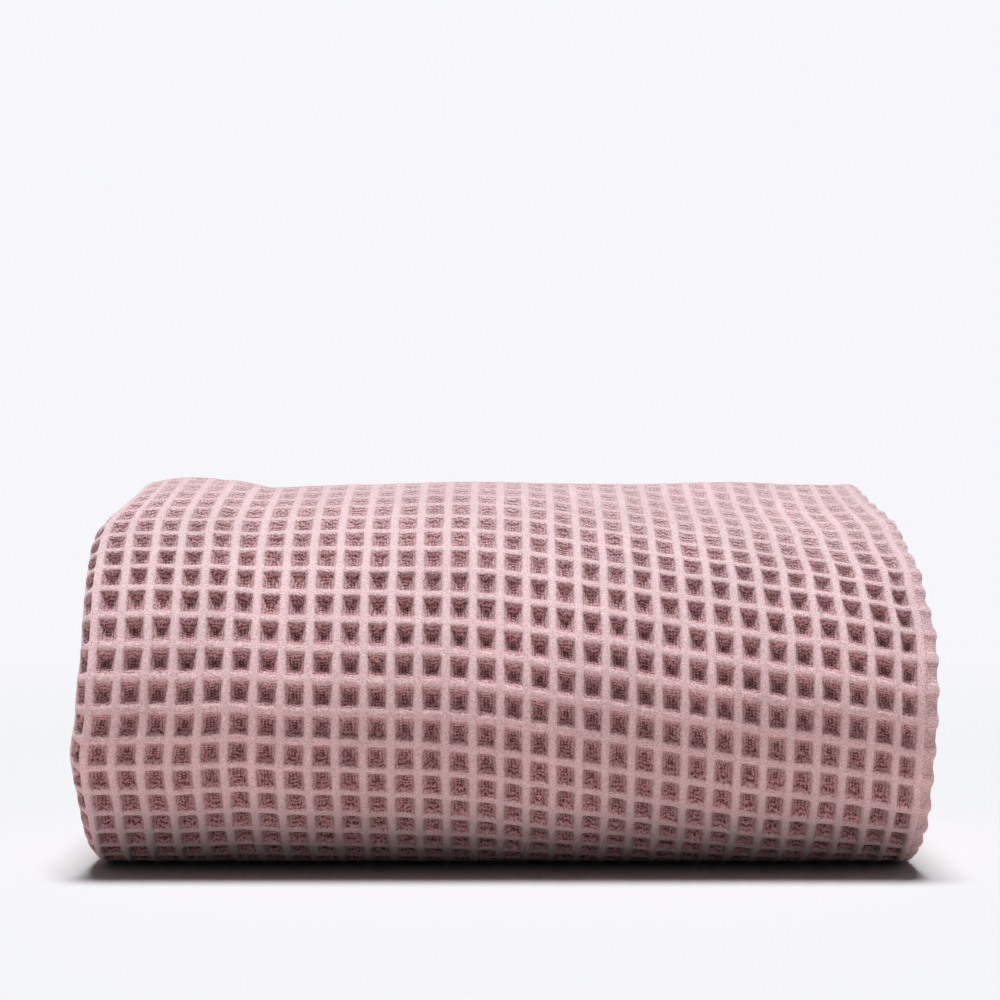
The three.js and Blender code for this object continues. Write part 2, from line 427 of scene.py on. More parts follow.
def between(table, column, row):
    i = np.clip(np.floor(column).astype(int), 0, COLUMN_COUNT)
    j = np.clip(np.floor(row).astype(int), 0, ROW_COUNT)
    u = ease(0, 1, column - i)
    v = ease(0, 1, row - j)
    first = table[i, j] * (1 - u) + table[i + 1, j] * u
    second = table[i, j + 1] * (1 - u) + table[i + 1, j + 1] * u
    return first * (1 - v) + second * v


# %% Where the cells are worn
# These shares flatten the cells, and the materials also take the painted pit shade off them. This
# paints the worn places paler, partly as painted light on the top and ends.
CREASE_WEAR = [(58.5, 0.3), (60, 0.85), (63.2, 0.85), (63.9, 0.6), (64.5, 0)]
TOP_WEAR = [(56, 0), (59, 0.18), (63, 0.6), (68, 0.6), (76, 0)]
RIGHT_WEAR = 0.75
RIGHT_FADE = 1.2
RIGHT_WORN = [
    (56, 62), (58, 63.6), (60, 64.4), (62, 65), (64, 65.6), (66, 66.5), (70, 65), (76, 62),
]
LEFT_WEAR = 0.7
LEFT_FADE = 1.6
LEFT_WORN = [(58, 100), (60, 98.5), (62, 95.5), (64, 94), (70, 96), (76, 100)]
WORN_FROM = (54, 57)
WORN_TO = (78, 82)


def worn(column, row):
    high = ease(*WORN_FROM, row) * (1 - ease(*WORN_TO, row))
    past_right = column - table_at(RIGHT_WORN, row)
    past_left = column - table_at(LEFT_WORN, row)
    right = RIGHT_WEAR * high * ease(RIGHT_FADE, -RIGHT_FADE, past_right)
    left = LEFT_WEAR * high * ease(-LEFT_FADE, LEFT_FADE, past_left)
    crease, top = table_at(CREASE_WEAR, column), table_at(TOP_WEAR, row)
    return np.maximum(np.maximum(crease, top), np.maximum(left, right))


print("wear at the middle of the top:", round(float(worn(80.0, 66.0)), 2))

# %% Ridges and pits
CREST = 1.45
LEDGE = -0.5
PIT = -3.1
COLUMN_RIDGE = (0.7, 2.6)
ROW_RIDGE = (0.7, 2.9)
ROW_SHARE = 0.84
PIT_WALL = (1.6, 3.9)
PIT_SPREAD = 0.15
WANDER = 0.02


def wandered(column, row):
    u = column + WANDER * between(wander_across, column, row)
    v = row + WANDER * between(wander_along, column, row)
    return u, v


def relief(column, row):
    u, v = wandered(column, row)
    from_column = np.abs(u - np.round(u)) * CELL_ACROSS
    from_row = np.abs(v - np.round(v)) * CELL_ALONG
    ridge_up = 1 - ease(*COLUMN_RIDGE, from_column)
    ridge_along = (1 - ease(*ROW_RIDGE, from_row)) * ROW_SHARE
    ridge = 1 - (1 - ridge_up) * (1 - ridge_along)
    from_ridge = np.minimum(from_column, from_row * CELL_ACROSS / CELL_ALONG)
    i = np.clip(np.floor(u).astype(int), 0, COLUMN_COUNT)
    j = np.clip(np.floor(v).astype(int), 0, ROW_COUNT)
    sink = ease(*PIT_WALL, from_ridge) * (1 + PIT_SPREAD * cell_depth[i, j])
    height = CREST * ridge + (LEDGE + (PIT - LEDGE) * sink) * (1 - ridge)
    return CREST - (CREST - height) * (1 - worn(column, row))


print("from ridge to pit:", CREST - PIT, "mm")

# %% Soft swellings
SWELL_FROM = (46, 49)
SWELL_TO = (76, 80)
SWELL_CELLS = (4.3, 3.7)
WIDE_SWELL = 0.35
CLOSE_SWELL = 0.12


def softness(column, row):
    shown = ease(*SWELL_FROM, row) * (1 - ease(*SWELL_TO, row))
    wide = between(puff, column / SWELL_CELLS[0], row / SWELL_CELLS[1]) * WIDE_SWELL
    close = between(crest_rise, column, row) * CLOSE_SWELL
    return shown * (wide + close)


print("swellings up to", WIDE_SWELL + CLOSE_SWELL, "mm")

# %% [markdown]
# ## Laying the cloth
# One helper makes any rectangle of cells into a mesh. `lines` are the places of the mesh lines
# inside each cell, closest together where the ridge falls away. The UV map "Cells" holds the
# column and row of each point, and a second UV map holds how worn it is. The materials read them
# and use the wear to take the painted pit shade off worn cells. The meshes are laid one line
# wider than they need to be, which gives true normals at their edges, so that no seam shows
# where two of them meet.

# %% Mesh lines of a rectangle of cells
FINE = (0, 0.05, 0.09, 0.13, 0.17, 0.22, 0.30, 0.40, 0.5, 0.60, 0.70, 0.78, 0.83, 0.87, 0.91, 0.95)
MEDIUM = (0, 0.06, 0.11, 0.16, 0.22, 0.34, 0.5, 0.66, 0.78, 0.84, 0.89, 0.94)
PLAIN = (0, 0.1, 0.2, 0.35, 0.5, 0.65, 0.8, 0.9)
COARSE = (0, 0.12, 0.24, 0.5, 0.76, 0.88)
TINY = 1e-6


def mesh_lines(start, end, lines):
    cells = np.arange(math.floor(start) - 1, math.ceil(end) + 1)
    places = (cells[:, None] + np.array(lines)[None]).ravel()
    within = places[(places > start + TINY) & (places < end - TINY)]
    before = places[places < start - TINY][-1]
    after = places[places > end + TINY][0]
    return np.concatenate([[before, start], within, [end, after]])


print("mesh lines in a cell:", [len(lines) for lines in (FINE, MEDIUM, PLAIN, COARSE)])


# %% Make a grid of points into a mesh
def grid_mesh(name, points, cells, flat, normals, left_out=None):
    wide, long = points.shape[:2]
    index = np.arange(wide * long).reshape(wide, long)
    corners = [index[:-1, :-1], index[:-1, 1:], index[1:, 1:], index[1:, :-1]]
    faces = np.stack(corners, -1).reshape(-1, 4)
    points, normals = points.reshape(-1, 3), normals.reshape(-1, 3)
    cells, flat = cells.reshape(-1, 2), np.stack([flat, np.zeros(flat.shape)], -1).reshape(-1, 2)
    if left_out is not None:
        used, faces = np.unique(faces[~left_out.ravel()], return_inverse=True)
        faces = faces.reshape(-1, 4)
        points, cells, flat, normals = points[used], cells[used], flat[used], normals[used]
    mesh = bpy.data.meshes.new(name)
    mesh.vertices.add(len(points))
    mesh.vertices.foreach_set("co", (points * MM).astype(np.float32).ravel())
    mesh.loops.add(faces.size)
    mesh.loops.foreach_set("vertex_index", faces.astype(np.int32).ravel())
    mesh.polygons.add(len(faces))
    mesh.polygons.foreach_set("loop_start", np.arange(0, faces.size, 4, dtype=np.int32))
    mesh.update(calc_edges=True)
    # The second UV map holds the wear, which the materials use to take the painted pit shade off
    # worn cells.
    for label, values in (("Cells", cells), ("WornAndLit", flat)):
        uv_map = mesh.uv_layers.new(name=label)
        uv_map.data.foreach_set("uv", values[faces.ravel()].astype(np.float32).ravel())
    mesh.polygons.foreach_set("use_smooth", np.ones(len(faces), bool))
    mesh.normals_split_custom_set_from_vertices(normals)
    piece = bpy.data.objects.new(name, mesh)
    bpy.context.scene.collection.objects.link(piece)
    print(name, faces.shape[0] * 2, "triangles")
    return piece


# %% Lay a rectangle of cells
def lay_cloth(name, columns, rows, lines):
    column = mesh_lines(*columns, lines)[:, None]
    row = mesh_lines(*rows, lines)[None]
    column, row = np.broadcast_arrays(column, row)
    out = relief(column, row) + softness(column, row)
    points = folded(across_of(column), along_of(column, row), out) + PLACE
    slope_across = points[2:, 1:-1] - points[:-2, 1:-1]
    slope_along = points[1:-1, 2:] - points[1:-1, :-2]
    normals = np.cross(slope_along, slope_across)
    normals /= np.linalg.norm(normals, axis=-1, keepdims=True)
    u, v = wandered(column, row)
    cells, flat = np.stack([u, v], -1), worn(column, row)
    return grid_mesh(name, points[1:-1, 1:-1], cells[1:-1, 1:-1], flat[1:-1, 1:-1], normals)


# %% [markdown]
# ## The outside of the stack
# The cells that show are laid in pieces that meet on a ridge: the round front in two halves,
# the top, the back, the underside, and the left and right ends of all the layers.

# %% Lay the outside
BACK_ROWS = (23, 33)
FRONT_ROWS = (42, 60)
TOP_ROWS = (60, 78)
END_ROWS = (0.92, ROW_COUNT - 0.92)
RIGHT_END = (62, 65)
LEFT_END = (94, 98)
FRONT_MIDDLE = 80

OUTSIDE = [
    ("throw_front_right", (RIGHT_END[0], FRONT_MIDDLE), FRONT_ROWS, FINE),
    ("throw_front_left", (FRONT_MIDDLE, LEFT_END[1]), FRONT_ROWS, FINE),
    ("throw_top", (RIGHT_END[0], LEFT_END[1]), TOP_ROWS, MEDIUM),
    ("throw_back", (RIGHT_END[1], LEFT_END[0]), BACK_ROWS, PLAIN),
    ("throw_under", (RIGHT_END[1], LEFT_END[0]), (BACK_ROWS[1], FRONT_ROWS[0]), COARSE),
    ("throw_right_low", RIGHT_END, (END_ROWS[0], FRONT_ROWS[0]), PLAIN),
    ("throw_right_high", RIGHT_END, (TOP_ROWS[1], END_ROWS[1]), PLAIN),
    ("throw_left_low", LEFT_END, (END_ROWS[0], FRONT_ROWS[0]), PLAIN),
    ("throw_left_high", LEFT_END, (TOP_ROWS[1], END_ROWS[1]), PLAIN),
]
outside = [lay_cloth(*piece) for piece in OUTSIDE]

# %% [markdown]
# ## The inside of the stack
# Between the layers the cloth is out of sight, so it is laid with few mesh lines, close
# together only where it turns, and its weave is bump. Where it meets the outside it takes the
# height of the ridge there.

# %% Mesh lines of the inside
FIRST_COLUMN = 1.05
LAST_COLUMN = 127.9
BESIDE_TURN = (2.5, 3.2)
TURN_STEP = 0.25
COLUMN_STEP = 2


def inside_rows():
    fine = np.arange(END_ROWS[0], END_ROWS[1], TURN_STEP)
    whole = np.arange(1, ROW_COUNT)
    near_turn = np.zeros(len(fine), bool)
    for first, last in turn_rows:
        near_turn |= (fine > first - BESIDE_TURN[0]) & (fine < last + BESIDE_TURN[1])
    return np.unique(np.round(np.concatenate([END_ROWS, whole, fine[near_turn]]), 3))


def inside_columns():
    fold_start = PLY_LENGTH + HEM_OF_C
    fold = column_of([fold_start, fold_start + PLY_PITCH * math.pi / 2])
    parts = [
        np.arange(FIRST_COLUMN, RIGHT_END[0], COLUMN_STEP),
        np.linspace(*fold, 9),
        RIGHT_END,
        np.arange(RIGHT_END[1] + 1, LEFT_END[0], COLUMN_STEP),
        LEFT_END,
        np.arange(LEFT_END[1] + 2, LAST_COLUMN, COLUMN_STEP),
        (LAST_COLUMN,),
    ]
    return np.unique(np.round(np.concatenate(parts), 3))


print(len(inside_columns()), "lines across and", len(inside_rows()), "along")


# %% Lay the inside
def is_outside(column, row):
    taken = np.zeros(column.shape, bool)
    for _, columns, rows, _ in OUTSIDE:
        taken |= (column > columns[0]) & (column < columns[1]) & (row > rows[0]) & (row < rows[1])
    return taken


def lay_inside(name):
    column, row = np.meshgrid(inside_columns(), inside_rows(), indexing="ij")
    here = (column[:-1, :-1] + column[1:, 1:]) / 2, (row[:-1, :-1] + row[1:, 1:]) / 2
    dropped = is_outside(*here)
    beside = np.zeros(column.shape, bool)
    for a, b in ((0, 0), (0, 1), (1, 0), (1, 1)):
        beside[a:column.shape[0] - 1 + a, b:column.shape[1] - 1 + b] |= dropped
    out = np.where(beside, relief(column, row), 0)
    points = folded(across_of(column), along_of(column, row), out) + PLACE
    normals = np.cross(np.gradient(points, axis=1), np.gradient(points, axis=0))
    normals /= np.linalg.norm(normals, axis=-1, keepdims=True)
    cells, flat = np.stack([column, row], -1), np.zeros(column.shape)
    return grid_mesh(name, points, cells, flat, normals, left_out=dropped)


inside = lay_inside("throw_inside")

# %% [markdown]
# ## The hem
# The edge is turned over twice and sewn down, so it is a flat band, as thick as the waffle,
# with a line of stitches near its inner edge. It is one closed ring round the whole cloth,
# folded with it. Its profile is given as distance from the edge and height on each side, and
# the profile is carried round the cloth by stations, closest together where the cloth turns.

# %% Stations of the hem
HEM_WIDTH = 12
HEM_PROFILE = [
    (0, 0), (0.3, 0.8), (1.2, 1.3), (4, 1.45), (8.4, 1.45), (9.2, 1.0), (10, 1.4), (11.4, 1.25),
    (12, 0.6),
]
HEM_STEP = 12
WIDTH_FOLDS = [(313, 321), (636.5, 644.5), (960, 982)]
WIDTH_FOLD_STEP = 1.0
LENGTH_TURN_STEP = 3.0


def hem_stations(spans, length, fold_step):
    even = np.arange(HEM_WIDTH, length - HEM_WIDTH, HEM_STEP)
    fine = [np.arange(start - 3, end + 4, fold_step) for start, end in spans]
    places = np.unique(np.round(np.concatenate([even, *fine]), 2))
    return places[(places >= HEM_WIDTH) & (places <= length - HEM_WIDTH)]


hem_over = hem_stations(WIDTH_FOLDS, section_run[-1], WIDTH_FOLD_STEP)
hem_along = hem_stations(turn_spans, way_run[-1], LENGTH_TURN_STEP)
print(len(hem_over), "stations across and", len(hem_along), "along")


# %% Lay the hem
def hem_ring(inset):
    wide, long = section_run[-1], way_run[-1]
    ends_over = np.concatenate([[inset], hem_over, [wide - inset]])
    ends_along = np.concatenate([[inset], hem_along, [long - inset]])
    ring = [(inset, b) for b in ends_along[:-1]]
    ring += [(a, long - inset) for a in ends_over[:-1]]
    ring += [(wide - inset, b) for b in ends_along[:0:-1]]
    ring += [(a, inset) for a in ends_over[:0:-1]]
    return ring


def lay_hem(name):
    profile = HEM_PROFILE + [(inset, -rise) for inset, rise in reversed(HEM_PROFILE[1:])]
    rings = np.array([hem_ring(inset) for inset, _ in profile])
    rise = np.array([row[1] for row in profile])[:, None]
    points = folded(rings[..., 0], rings[..., 1], np.broadcast_to(rise, rings.shape[:2])) + PLACE
    run = np.concatenate([[0], np.cumsum(np.hypot(*np.diff(rings[0], axis=0).T))])
    count, length = rings.shape[:2]
    index = np.arange(count * length).reshape(count, length)
    after, beyond = np.roll(index, -1, axis=0), np.roll(index, -1, axis=1)
    faces = np.stack([index, beyond, np.roll(after, -1, axis=1), after], -1).reshape(-1, 4)
    mesh = bpy.data.meshes.new(name)
    mesh.from_pydata((points.reshape(-1, 3) * MM).tolist(), [], faces.tolist())
    uv_map = mesh.uv_layers.new(name="Cells")
    inset = np.array([row[0] for row in profile])[:, None]
    cells = np.stack(np.broadcast_arrays(run[None], inset), -1).reshape(-1, 2)
    uv_map.data.foreach_set("uv", cells[faces.ravel()].astype(np.float32).ravel())
    mesh.polygons.foreach_set("use_smooth", np.ones(len(faces), bool))
    corner = points.reshape(-1, 3)[faces]
    volume = np.einsum("ij,ij->i", corner[:, 0], np.cross(corner[:, 1], corner[:, 2])).sum()
    if volume < 0:
        mesh.flip_normals()
    piece = bpy.data.objects.new(name, mesh)
    bpy.context.scene.collection.objects.link(piece)
    return piece, run[-1]


hem, hem_length = lay_hem("throw_hem")
print("throw_hem", len(hem.data.polygons) * 2, "triangles, a ring of", round(hem_length), "mm")

# %% [markdown]
# ## Shader groups
# Three effects are used by more than one material. `waffle cell` says where in its cell a point
# is, `cell threads` draws the threads, which run along the nearest ridge and cross in the
# middle of the pit, and `cotton lint` is the fine fuzz of brushed cotton. A few short helpers
# add the nodes, so that each group reads like a recipe.


# %% Helpers for shader nodes
def new_group(name, inputs, outputs):
    tree = bpy.data.node_groups.new(name, "ShaderNodeTree")
    for label, kind, value in inputs:
        socket = tree.interface.new_socket(name=label, in_out="INPUT", socket_type=kind)
        if value is not None:
            socket.default_value = value
    for label, kind in outputs:
        tree.interface.new_socket(name=label, in_out="OUTPUT", socket_type=kind)
    return tree, tree.nodes.new("NodeGroupInput"), tree.nodes.new("NodeGroupOutput")


def wire(tree, value, socket):
    if isinstance(value, bpy.types.NodeSocket):
        tree.links.new(value, socket)
    elif value is not None:
        socket.default_value = value


def math_node(tree, operation, *values):
    node = tree.nodes.new("ShaderNodeMath")
    node.operation = operation
    for value, socket in zip(values, node.inputs):
        wire(tree, value, socket)
    return node.outputs[0]


def ramp_node(tree, value, from_low, from_high, to_low=0.0, to_high=1.0):
    node = tree.nodes.new("ShaderNodeMapRange")
    node.interpolation_type = "SMOOTHSTEP"
    wire(tree, value, node.inputs["Value"])
    wire(tree, from_low, node.inputs["From Min"])
    wire(tree, from_high, node.inputs["From Max"])
    wire(tree, to_low, node.inputs["To Min"])
    wire(tree, to_high, node.inputs["To Max"])
    return node.outputs["Result"]


def mix_colour(tree, share, first, second):
    node = tree.nodes.new("ShaderNodeMix")
    node.data_type = "RGBA"
    wire(tree, share, node.inputs[0])
    colour_sockets = [s for s in node.inputs if s.type == "RGBA"]
    wire(tree, first, colour_sockets[0])
    wire(tree, second, colour_sockets[1])
    return [s for s in node.outputs if s.type == "RGBA"][0]


def mix_value(tree, share, first, second):
    node = tree.nodes.new("ShaderNodeMix")
    node.data_type = "FLOAT"
    wire(tree, share, node.inputs[0])
    wire(tree, first, node.inputs[2])
    wire(tree, second, node.inputs[3])
    return node.outputs[0]


def noise_node(tree, vector, fineness, roughness):
    node = tree.nodes.new("ShaderNodeTexNoise")
    wire(tree, vector, node.inputs["Vector"])
    wire(tree, fineness, node.inputs["Scale"])
    node.inputs["Detail"].default_value = 3.0
    node.inputs["Roughness"].default_value = roughness
    return node


def wavered(tree, cells, amount, fineness):
    noise = noise_node(tree, cells, fineness, 0.6)
    centred = tree.nodes.new("ShaderNodeVectorMath")
    centred.operation = "SUBTRACT"
    tree.links.new(noise.outputs["Color"], centred.inputs[0])
    centred.inputs[1].default_value = (0.5, 0.5, 0.5)
    moved = tree.nodes.new("ShaderNodeVectorMath")
    moved.operation = "MULTIPLY_ADD"
    tree.links.new(centred.outputs[0], moved.inputs[0])
    wire(tree, amount, moved.inputs[1])
    wire(tree, cells, moved.inputs[2])
    return moved.outputs[0]


# %% Group: where a point lies in its cell
FRAY_FINENESS = 9.0
COLUMN_EDGE = (1.1, 2.5)
ROW_EDGE = (0.9, 2.5)
ROW_PALENESS = 0.85
THREADS_TURN = 1.2
PIT_CENTRE = (3.3, 4.4)


def make_cell_group():
    tree, given, result = new_group(
        "waffle cell",
        [("Cells", "NodeSocketVector", None), ("Fray", "NodeSocketFloat", 0.22)],
        [
            ("Ridge", "NodeSocketFloat"),
            ("Beside Column", "NodeSocketFloat"),
            ("Middle", "NodeSocketFloat"),
        ],
    )
    frayed = wavered(tree, given.outputs["Cells"], given.outputs["Fray"], FRAY_FINENESS)
    split = tree.nodes.new("ShaderNodeSeparateXYZ")
    tree.links.new(frayed, split.inputs[0])
    away = []
    for axis, size in (("X", CELL_ACROSS), ("Y", CELL_ALONG)):
        share = math_node(tree, "FRACT", split.outputs[axis])
        centred = math_node(tree, "ABSOLUTE", math_node(tree, "SUBTRACT", share, 0.5))
        away.append(math_node(tree, "MULTIPLY", math_node(tree, "SUBTRACT", 0.5, centred), size))
    column_ridge = ramp_node(tree, away[0], *COLUMN_EDGE, 1.0, 0.0)
    row_ridge = ramp_node(tree, away[1], *ROW_EDGE, ROW_PALENESS, 0.0)
    ridge = math_node(tree, "MAXIMUM", column_ridge, row_ridge)
    scaled = math_node(tree, "MULTIPLY", away[1], CELL_ACROSS / CELL_ALONG)
    nearer = math_node(tree, "SUBTRACT", scaled, away[0])
    beside = ramp_node(tree, nearer, -THREADS_TURN, THREADS_TURN)
    middle = ramp_node(tree, math_node(tree, "MINIMUM", away[0], scaled), *PIT_CENTRE)
    tree.links.new(ridge, result.inputs["Ridge"])
    tree.links.new(beside, result.inputs["Beside Column"])
    tree.links.new(middle, result.inputs["Middle"])
    return tree


cell_group = make_cell_group()
print("group:", cell_group.name)


# %% Group: the threads of a cell
WAVER_FINENESS = 5.0
OTHER_THREADS = 0.3


def make_thread_group():
    tree, given, result = new_group(
        "cell threads",
        [
            ("Cells", "NodeSocketVector", None),
            ("Beside Column", "NodeSocketFloat", 0.0),
            ("Middle", "NodeSocketFloat", 0.0),
            ("Threads Across", "NodeSocketFloat", 8.0),
            ("Threads Along", "NodeSocketFloat", 10.0),
            ("Waver", "NodeSocketFloat", 0.28),
        ],
        [("Height", "NodeSocketFloat")],
    )
    moved = wavered(tree, given.outputs["Cells"], given.outputs["Waver"], WAVER_FINENESS)
    split = tree.nodes.new("ShaderNodeSeparateXYZ")
    tree.links.new(moved, split.inputs[0])
    waves = []
    for axis, threads in (("X", "Threads Across"), ("Y", "Threads Along")):
        turns = math_node(tree, "MULTIPLY", split.outputs[axis], given.outputs[threads])
        wave = math_node(tree, "COSINE", math_node(tree, "MULTIPLY", turns, math.tau))
        waves.append(math_node(tree, "MULTIPLY_ADD", wave, 0.5, 0.5))
    beside_column = mix_value(tree, OTHER_THREADS, waves[0], waves[1])
    beside_row = mix_value(tree, OTHER_THREADS, waves[1], waves[0])
    nearest = mix_value(tree, given.outputs["Beside Column"], beside_row, beside_column)
    crossing = math_node(tree, "MULTIPLY", waves[0], waves[1])
    height = mix_value(tree, given.outputs["Middle"], nearest, crossing)
    tree.links.new(height, result.inputs["Height"])
    return tree


thread_group = make_thread_group()
print("group:", thread_group.name)


# %% Group: lint and slow changes of tone
TONE_FINENESS = 28.0


def make_lint_group():
    tree, given, result = new_group(
        "cotton lint",
        [("Place", "NodeSocketVector", None), ("Fineness", "NodeSocketFloat", 1500.0)],
        [("Lint", "NodeSocketFloat"), ("Tone", "NodeSocketFloat")],
    )
    fuzz = noise_node(tree, given.outputs["Place"], given.outputs["Fineness"], 0.7)
    tone = noise_node(tree, given.outputs["Place"], TONE_FINENESS, 0.5)
    tree.links.new(fuzz.outputs[0], result.inputs["Lint"])
    tree.links.new(tone.outputs[0], result.inputs["Tone"])
    return tree


lint_group = make_lint_group()
print("group:", lint_group.name)

# %% [markdown]
# ## Materials
# The yarn is one dusty pink. It is pale on the worn tops of the ridges. In the pits its colour is
# painted deeper, as painted shade for the light that the pits shut out and that bounces from
# thread to thread. It is darkest in the gaps between threads, which is painted shade too. The wear
# map takes the painted pit shade off whole cells, which show pale, partly for their flatter pits
# and partly as painted light on the top and ends. Sheen gives the soft bright rim of cotton. One
# plain colour with bump would be simpler, but its pits would look as pale as its ridges.

# %% Colours
CREST_COLOUR = (0.74, 0.54, 0.565, 1)
# Painted shade: the pit colour is deeper and redder than the crest, for the light that the pits
# shut out.
PIT_SHADE_COLOUR = (0.66, 0.36, 0.375, 1)
# Painted shade: the gap colour, nearly black, for the gaps between threads and the seam of the hem.
GAP_SHADE_COLOUR = (0.10, 0.012, 0.018, 1)
print("tones of crest, pit and gap:", CREST_COLOUR[:3], PIT_SHADE_COLOUR[:3], GAP_SHADE_COLOUR[:3])


# %% The cotton shader
def group_node(tree, group, **values):
    node = tree.nodes.new("ShaderNodeGroup")
    node.node_tree = group
    for label, value in values.items():
        wire(tree, value, node.inputs[label.replace("_", " ")])
    return node


def cotton_shader(tree, colour, height, depth):
    bump = tree.nodes.new("ShaderNodeBump")
    bump.inputs["Strength"].default_value = 1.0
    bump.inputs["Distance"].default_value = depth
    tree.links.new(height, bump.inputs["Height"])
    shader = tree.nodes["Principled BSDF"]
    shader.inputs["Roughness"].default_value = 0.92
    shader.inputs["Specular IOR Level"].default_value = 0.25
    shader.inputs["Sheen Weight"].default_value = 0.45
    shader.inputs["Sheen Roughness"].default_value = 0.5
    shader.inputs["Sheen Tint"].default_value = (1.0, 0.94, 0.96, 1)
    tree.links.new(colour, shader.inputs["Base Color"])
    tree.links.new(bump.outputs["Normal"], shader.inputs["Normal"])


# %% Material of the waffle
LINT_IN_GAPS = 1.8
GAP_SHADE_HEIGHTS = (1.0, 1.55)
GAP_SHADE_SHARE = 0.9
TONE_RANGE = (0.94, 1.04)
FUZZ_RANGE = (0.74, 1.14)
RIDGE_WEAVE = 0.25
LINT_BUMP = 1.6
RIDGE_BUMP = 4.0
WAFFLE_BUMP = 0.0005


# The wear share, which takes the painted pit shade off worn cells and so paints them paler, partly
# as painted light.
def worn_and_lit_share(tree):
    worn_and_lit_map = tree.nodes.new("ShaderNodeUVMap")
    worn_and_lit_map.uv_map = "WornAndLit"
    split = tree.nodes.new("ShaderNodeSeparateXYZ")
    tree.links.new(worn_and_lit_map.outputs[0], split.inputs[0])
    return split.outputs["X"]


def waffle_material(name, with_relief):
    material = bpy.data.materials.new(name)
    material.use_nodes = True
    tree = material.node_tree
    cells = tree.nodes.new("ShaderNodeUVMap")
    cells.uv_map = "Cells"
    place = tree.nodes.new("ShaderNodeTexCoord").outputs["Object"]
    cell = group_node(tree, cell_group, Cells=cells.outputs[0])
    threads = group_node(
        tree, thread_group, Cells=cells.outputs[0],
        Beside_Column=cell.outputs["Beside Column"], Middle=cell.outputs["Middle"],
    )
    lint = group_node(tree, lint_group, Place=place)
    fibres, height = lint.outputs["Lint"], threads.outputs["Height"]
    # Painted shade: the gaps between threads are darkened towards the gap colour, and the pits take
    # the deeper pit colour. The ridges and worn cells stay free of both.
    rough_thread = math_node(tree, "MULTIPLY_ADD", fibres, LINT_IN_GAPS, height)
    gap_shade = ramp_node(tree, rough_thread, *GAP_SHADE_HEIGHTS, 1.0, 0.0)
    pit_shade = mix_colour(tree, math_node(tree, "MULTIPLY", gap_shade, GAP_SHADE_SHARE), PIT_SHADE_COLOUR, GAP_SHADE_COLOUR)
    pale = math_node(tree, "MAXIMUM", cell.outputs["Ridge"], worn_and_lit_share(tree))
    colour = mix_colour(tree, pale, pit_shade, CREST_COLOUR)
    tone = ramp_node(tree, lint.outputs["Tone"], 0.3, 0.7, *TONE_RANGE)
    fuzz = ramp_node(tree, fibres, 0.35, 0.65, *FUZZ_RANGE)
    scale = math_node(tree, "MULTIPLY", tone, fuzz)
    vary = tree.nodes.new("ShaderNodeVectorMath")
    vary.operation = "SCALE"
    tree.links.new(colour, vary.inputs[0])
    tree.links.new(scale, vary.inputs["Scale"])
    weave_share = ramp_node(tree, cell.outputs["Ridge"], 0.0, 1.0, 1.0, RIDGE_WEAVE)
    weave = math_node(tree, "MULTIPLY", height, weave_share)
    surface = math_node(tree, "MULTIPLY_ADD", fibres, LINT_BUMP, weave)
    if with_relief:
        surface = math_node(tree, "MULTIPLY_ADD", cell.outputs["Ridge"], RIDGE_BUMP, surface)
    cotton_shader(tree, vary.outputs[0], surface, WAFFLE_BUMP)
    return material


waffle = waffle_material("waffle cotton", with_relief=False)
waffle_flat = waffle_material("waffle cotton between the layers", with_relief=True)
print("materials:", waffle.name, "and", waffle_flat.name)


# %% [markdown]
# The hem shows plain cloth, so it takes even threads and no cells. Its one line of stitches is
# drawn from the same UV map, which holds the distance along the hem and from its edge. Its low
# threads take the painted pit shade, and the sunk line of the seam is darkened as painted shade.

# %% Material of the hem
HEM_THREADS = 0.8
SEAM_FROM_EDGE = 9.2
SEAM_WIDTH = (0.3, 0.6)
STITCH_LENGTH = 3.2
STITCH_GAP = (0.12, 0.2)
STITCH_BUMP = 1.5
HEM_LINT_BUMP = 0.6
HEM_BUMP = 0.0004


def hem_material(name):
    material = bpy.data.materials.new(name)
    material.use_nodes = True
    tree = material.node_tree
    cells = tree.nodes.new("ShaderNodeUVMap")
    cells.uv_map = "Cells"
    place = tree.nodes.new("ShaderNodeTexCoord").outputs["Object"]
    lint = group_node(tree, lint_group, Place=place)
    threads = group_node(
        tree, thread_group, Cells=cells.outputs[0], Middle=1.0,
        Threads_Across=HEM_THREADS, Threads_Along=HEM_THREADS,
    )
    split = tree.nodes.new("ShaderNodeSeparateXYZ")
    tree.links.new(cells.outputs[0], split.inputs[0])
    from_seam = math_node(tree, "SUBTRACT", split.outputs["Y"], SEAM_FROM_EDGE)
    seam = ramp_node(tree, math_node(tree, "ABSOLUTE", from_seam), *SEAM_WIDTH, 1.0, 0.0)
    stitches = math_node(tree, "DIVIDE", split.outputs["X"], STITCH_LENGTH)
    thread_shows = ramp_node(tree, math_node(tree, "FRACT", stitches), *STITCH_GAP)
    stitch = math_node(tree, "MULTIPLY", seam, thread_shows)
    # Painted shade: the low threads take the pit colour, and the sunk seam line is darkened half
    # way to the gap colour.
    colour = mix_colour(tree, threads.outputs["Height"], PIT_SHADE_COLOUR, CREST_COLOUR)
    colour = mix_colour(tree, math_node(tree, "MULTIPLY", seam, 0.5), colour, GAP_SHADE_COLOUR)
    colour = mix_colour(tree, stitch, colour, CREST_COLOUR)
    height = math_node(tree, "MULTIPLY_ADD", stitch, STITCH_BUMP, threads.outputs["Height"])
    height = math_node(tree, "MULTIPLY_ADD", lint.outputs["Lint"], HEM_LINT_BUMP, height)
    cotton_shader(tree, colour, height, HEM_BUMP)
    return material


hem_cotton = hem_material("hem cotton")
print("material:", hem_cotton.name)

